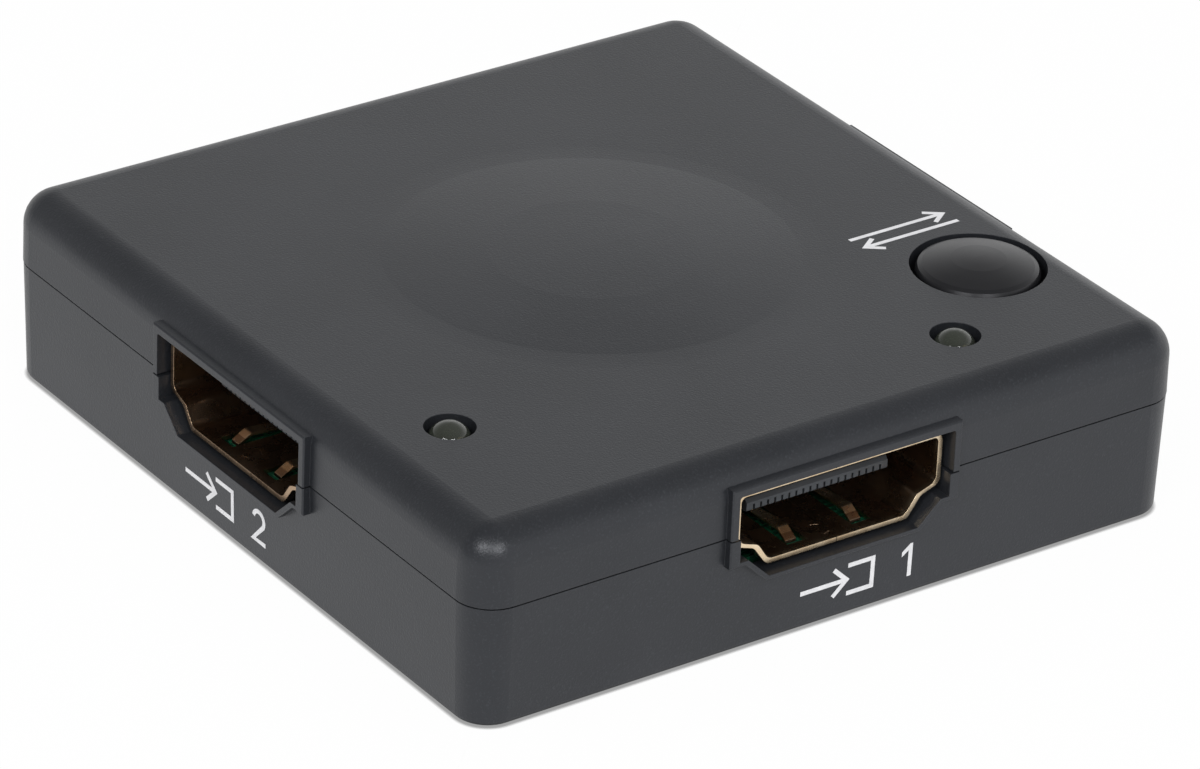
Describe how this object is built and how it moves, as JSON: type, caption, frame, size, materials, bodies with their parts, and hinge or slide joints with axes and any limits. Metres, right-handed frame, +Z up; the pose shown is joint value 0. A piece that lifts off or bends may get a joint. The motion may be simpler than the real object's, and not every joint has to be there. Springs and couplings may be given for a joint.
{
  "type": "hdmi switch box",
  "caption": "Small square charcoal switch box with sockets on three sides, a round push button, two indicator lamps and a shallow domed top.",
  "frame": {"origin": "centre of the underside, on the surface that the box rests on", "axes": "+Z up; the first input looks out along -Y, the second input along -X and the output along +X"},
  "size_m": [0.051, 0.0513, 0.013],
  "materials": {
    "moulded_case": "fine textured charcoal moulding",
    "button_cap": "smooth satin",
    "blackened_steel": "black oxide",
    "green_board": "solder mask",
    "switch_body": "moulded",
    "tinned_steel": "tinned",
    "gold_plated_steel": "pale gold plating",
    "insulator_resin": "moulded",
    "contact_gold": "gold plated",
    "lamp_lens": "clear grey resin",
    "chip_resin": "moulded resin",
    "capacitor_can": "satin can",
    "capacitor_ceramic": "fired ceramic"
  },
  "bodies": {
    "case": {"bottom_case": "moulded_case", "bulk_capacitor": "capacitor_can", "case_screws": "blackened_steel", "chip_resistors": "chip_resin", "circuit_board": "green_board", "feed_diodes": "chip_resin", "input_1_contacts": "contact_gold", "input_1_insulator": "insulator_resin", "input_1_shell": "gold_plated_steel", "input_2_contacts": "contact_gold", "input_2_insulator": "insulator_resin", "input_2_shell": "gold_plated_steel", "lamp_1_leads": "tinned_steel", "lamp_1_lens": "lamp_lens", "lamp_2_leads": "tinned_steel", "lamp_2_lens": "lamp_lens", "logic_chip": "chip_resin", "logic_chip_leads": "tinned_steel", "output_contacts": "contact_gold", "output_insulator": "insulator_resin", "output_shell": "gold_plated_steel", "small_capacitors": "capacitor_ceramic", "switch_chip": "chip_resin", "switch_chip_leads": "tinned_steel", "tact_switch_base": "switch_body", "tact_switch_cover": "tinned_steel", "tact_switch_dome": "tinned_steel", "tact_switch_pins": "tinned_steel", "top_cover": "moulded_case", "voltage_regulator": "chip_resin", "voltage_regulator_leads": "tinned_steel"},
    "button": {"select_button": "button_cap"},
    "plunger": {"tact_switch_plunger": "switch_body"}
  },
  "joints": [
    {"name": "button_press", "type": "slide", "parent": "case", "child": "button", "axis": [0, 0, -1], "range_m": [0, 0.00025], "stiffness_N_per_m": 8000},
    {"name": "plunger_press", "type": "slide", "parent": "case", "child": "plunger", "axis": [0, 0, -1], "range_m": [0, 0.00025], "stiffness_N_per_m": 50}
  ],
  "couplings": [
    {"joint": "plunger_press", "follows": "button_press", "ratio": 1}
  ]
}
